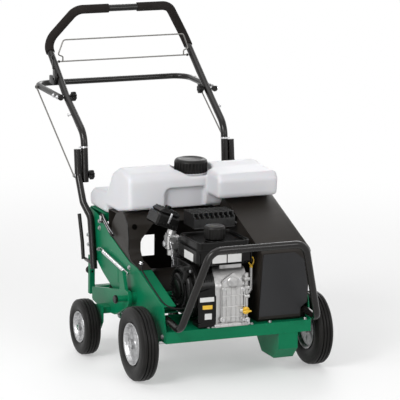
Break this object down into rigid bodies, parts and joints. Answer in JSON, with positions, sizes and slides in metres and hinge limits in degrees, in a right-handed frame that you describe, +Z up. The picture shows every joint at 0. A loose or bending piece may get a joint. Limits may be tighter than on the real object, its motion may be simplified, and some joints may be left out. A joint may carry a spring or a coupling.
{
  "type": "lawn aerator",
  "caption": "Walk-behind engine-driven core aerator: welded sheet frame, four wheels, covered tine reel, ballast water tank and folding tube handle with lift bar",
  "frame": {"origin": "Middle of the machine in plan, on the ground under its tyres", "axes": "+Z up; the machine drives towards -Y and its handle is at +Y; +X is the operator's left"},
  "size_m": [0.806, 1.4291, 1.1517],
  "materials": {
    "green_paint": "gloss green enamel over welded steel sheet",
    "black_powder_coat": "satin black powder coat",
    "black_tube": "semi-gloss black coated steel tube",
    "tyre_rubber": "matt black solid rubber tyre",
    "rubber": "matt black rubber",
    "foam_grip": "soft matt black foam",
    "polyethylene": "rotationally moulded pale grey polyethylene",
    "cast_aluminium": "as-cast aluminium",
    "zinc_plate": "zinc-plated pressed steel",
    "bright_steel": "bright plain steel",
    "dark_steel": "dark steel with a dull oxide surface",
    "black_plastic": "satin black moulded plastic",
    "yellow_plastic": "glossy yellow moulded plastic"
  },
  "bodies": {
    "chassis": {"engine_deck": "green_paint", "side_plate_right": "green_paint", "side_plate_left": "green_paint", "rear_crossbar": "green_paint", "reel_guard": "black_powder_coat", "tank_shelf": "green_paint", "front_guard": "black_tube", "belt_guard": "black_powder_coat", "arch_shroud": "black_powder_coat", "lift_spring_right": "bright_steel", "lift_spring_left": "bright_steel", "drive_belt": "rubber", "drive_chain": "dark_steel", "engine_block": "cast_aluminium", "muffler": "dark_steel", "fuel_tank": "black_plastic", "blower_housing": "black_plastic", "recoil_starter": "black_plastic", "air_cleaner": "black_plastic", "carburettor": "cast_aluminium", "water_tank": "polyethylene", "tank_strap_right": "rubber", "tank_strap_left": "rubber", "lower_leg_right": "black_tube", "lower_leg_left": "black_tube"},
    "front_axle": {"front_axle": "bright_steel", "front_tyre_right": "tyre_rubber", "front_tyre_left": "tyre_rubber", "front_rim_right": "zinc_plate", "front_rim_left": "zinc_plate"},
    "jackshaft": {"jackshaft": "dark_steel"},
    "crankshaft": {"crankshaft_pulley": "bright_steel"},
    "idler_arm": {"idler_arm": "bright_steel"},
    "idler_pulley": {"idler_pulley": "dark_steel"},
    "tine_shaft": {"tine_shaft": "dark_steel"},
    "outer_tines_right": {"outer_tine_wheel_right": "dark_steel"},
    "outer_tines_left": {"outer_tine_wheel_left": "dark_steel"},
    "lift_frame": {"lift_frame": "green_paint"},
    "rear_wheel_right": {"rear_tyre_right": "tyre_rubber", "rear_rim_right": "zinc_plate"},
    "rear_wheel_left": {"rear_tyre_left": "tyre_rubber", "rear_rim_left": "zinc_plate"},
    "upper_handle": {"upper_handle": "black_tube", "handle_grip_right": "foam_grip", "handle_grip_left": "foam_grip", "control_cable": "black_plastic"},
    "lift_bar": {"lift_bar": "black_tube"},
    "lift_rods": {"lift_rod_right": "bright_steel", "lift_rod_left": "bright_steel"},
    "bail": {"bail": "bright_steel"},
    "throttle_lever": {"throttle_lever": "black_plastic"},
    "fold_knob_right": {"fold_knob_right": "black_plastic"},
    "fold_knob_left": {"fold_knob_left": "black_plastic"},
    "post_knob_right": {"post_knob_right": "black_plastic"},
    "post_knob_left": {"post_knob_left": "black_plastic"},
    "water_cap": {"water_cap": "black_plastic"},
    "fuel_cap": {"fuel_cap": "black_plastic"},
    "oil_cap": {"oil_cap": "yellow_plastic"},
    "dipstick": {"dipstick": "yellow_plastic"},
    "starter_grip": {"starter_grip": "black_plastic"}
  },
  "joints": [
    {"name": "front_axle_spin", "type": "hinge", "parent": "chassis", "child": "front_axle", "pos_m": [0, -0.4344, 0.129], "axis": [1, 0, 0], "continuous": true},
    {"name": "jackshaft_spin", "type": "hinge", "parent": "chassis", "child": "jackshaft", "pos_m": [0, -0.2774, 0.36], "axis": [1, 0, 0], "continuous": true},
    {"name": "crankshaft_spin", "type": "hinge", "parent": "chassis", "child": "crankshaft", "pos_m": [0, -0.4374, 0.31], "axis": [1, 0, 0], "continuous": true},
    {"name": "clutch_idler", "type": "hinge", "parent": "chassis", "child": "idler_arm", "pos_m": [0, -0.3224, 0.5], "axis": [1, 0, 0], "range_deg": [0, 2]},
    {"name": "idler_pulley_spin", "type": "hinge", "parent": "idler_arm", "child": "idler_pulley", "pos_m": [0, -0.42354, 0.39242], "axis": [1, 0, 0], "continuous": true},
    {"name": "tine_shaft_spin", "type": "hinge", "parent": "chassis", "child": "tine_shaft", "pos_m": [0, -0.1174, 0.172], "axis": [1, 0, 0], "continuous": true},
    {"name": "outer_tines_right_spin", "type": "hinge", "parent": "tine_shaft", "child": "outer_tines_right", "pos_m": [0, -0.1174, 0.172], "axis": [1, 0, 0], "continuous": true},
    {"name": "outer_tines_left_spin", "type": "hinge", "parent": "tine_shaft", "child": "outer_tines_left", "pos_m": [0, -0.1174, 0.172], "axis": [1, 0, 0], "continuous": true},
    {"name": "tine_lift", "type": "hinge", "parent": "chassis", "child": "lift_frame", "pos_m": [0, -0.2574, 0.245], "axis": [1, 0, 0], "range_deg": [0, 36], "deforming": ["lift_spring_right", "lift_spring_left"]},
    {"name": "rear_wheel_right_spin", "type": "hinge", "parent": "lift_frame", "child": "rear_wheel_right", "pos_m": [0, -0.0404, 0.099], "axis": [1, 0, 0], "continuous": true},
    {"name": "rear_wheel_left_spin", "type": "hinge", "parent": "lift_frame", "child": "rear_wheel_left", "pos_m": [0, -0.0404, 0.099], "axis": [1, 0, 0], "continuous": true},
    {"name": "handle_fold", "type": "hinge", "parent": "chassis", "child": "upper_handle", "pos_m": [0, 0.2376, 0.585], "axis": [1, 0, 0], "range_deg": [0, 100]},
    {"name": "lift_bar_swing", "type": "hinge", "parent": "upper_handle", "child": "lift_bar", "pos_m": [0, 0.4246, 0.841], "axis": [-1, 0, 0], "range_deg": [0, 45]},
    {"name": "lift_rod_swing", "type": "hinge", "parent": "lift_bar", "child": "lift_rods", "pos_m": [0, 0.6386, 0.8445], "axis": [1, 0, 0], "range_deg": [0, 29.1]},
    {"name": "bail_squeeze", "type": "hinge", "parent": "upper_handle", "child": "bail", "pos_m": [0, 0.5676, 0.947], "axis": [-1, 0, 0], "range_deg": [0, 38], "stiffness_Nm_per_rad": 0.5, "springref_deg": -28.65},
    {"name": "throttle", "type": "hinge", "parent": "upper_handle", "child": "throttle_lever", "pos_m": [0, 0.5026, 0.9375], "axis": [1, 0, 0], "range_deg": [-30, 30]},
    {"name": "fold_knob_right_turn", "type": "hinge", "parent": "chassis", "child": "fold_knob_right", "pos_m": [0, 0.2376, 0.585], "axis": [1, 0, 0], "continuous": true},
    {"name": "fold_knob_left_turn", "type": "hinge", "parent": "chassis", "child": "fold_knob_left", "pos_m": [0, 0.2376, 0.585], "axis": [1, 0, 0], "continuous": true},
    {"name": "post_knob_right_turn", "type": "hinge", "parent": "chassis", "child": "post_knob_right", "pos_m": [-0.28, 0.1496, 0.25], "axis": [0, 1, 0], "continuous": true},
    {"name": "post_knob_left_turn", "type": "hinge", "parent": "chassis", "child": "post_knob_left", "pos_m": [0.28, 0.1496, 0.25], "axis": [0, 1, 0], "continuous": true},
    {"name": "water_cap_lift", "type": "slide", "parent": "chassis", "child": "water_cap", "axis": [0, 0, 1], "range_m": [0, 0.09]},
    {"name": "fuel_cap_lift", "type": "slide", "parent": "chassis", "child": "fuel_cap", "axis": [0, 0, 1], "range_m": [0, 0.08]},
    {"name": "oil_cap_pull", "type": "slide", "parent": "chassis", "child": "oil_cap", "axis": [0, -1, 0], "range_m": [0, 0.05]},
    {"name": "dipstick_lift", "type": "slide", "parent": "chassis", "child": "dipstick", "axis": [0, 0, 1], "range_m": [0, 0.1]},
    {"name": "starter_pull", "type": "slide", "parent": "chassis", "child": "starter_grip", "axis": [0, -0.45, 0.893], "range_m": [0, 0.03], "stiffness_N_per_m": 40, "springref_m": -0.05}
  ],
  "couplings": [
    {"joint": "jackshaft_spin", "follows": "front_axle_spin", "ratio": 2.6667},
    {"joint": "lift_bar_swing", "follows": "tine_lift", "ratio": 1.25},
    {"joint": "lift_rod_swing", "follows": "tine_lift", "ratio": 0.80833},
    {"joint": "clutch_idler", "follows": "bail_squeeze", "ratio": 0.052632}
  ]
}
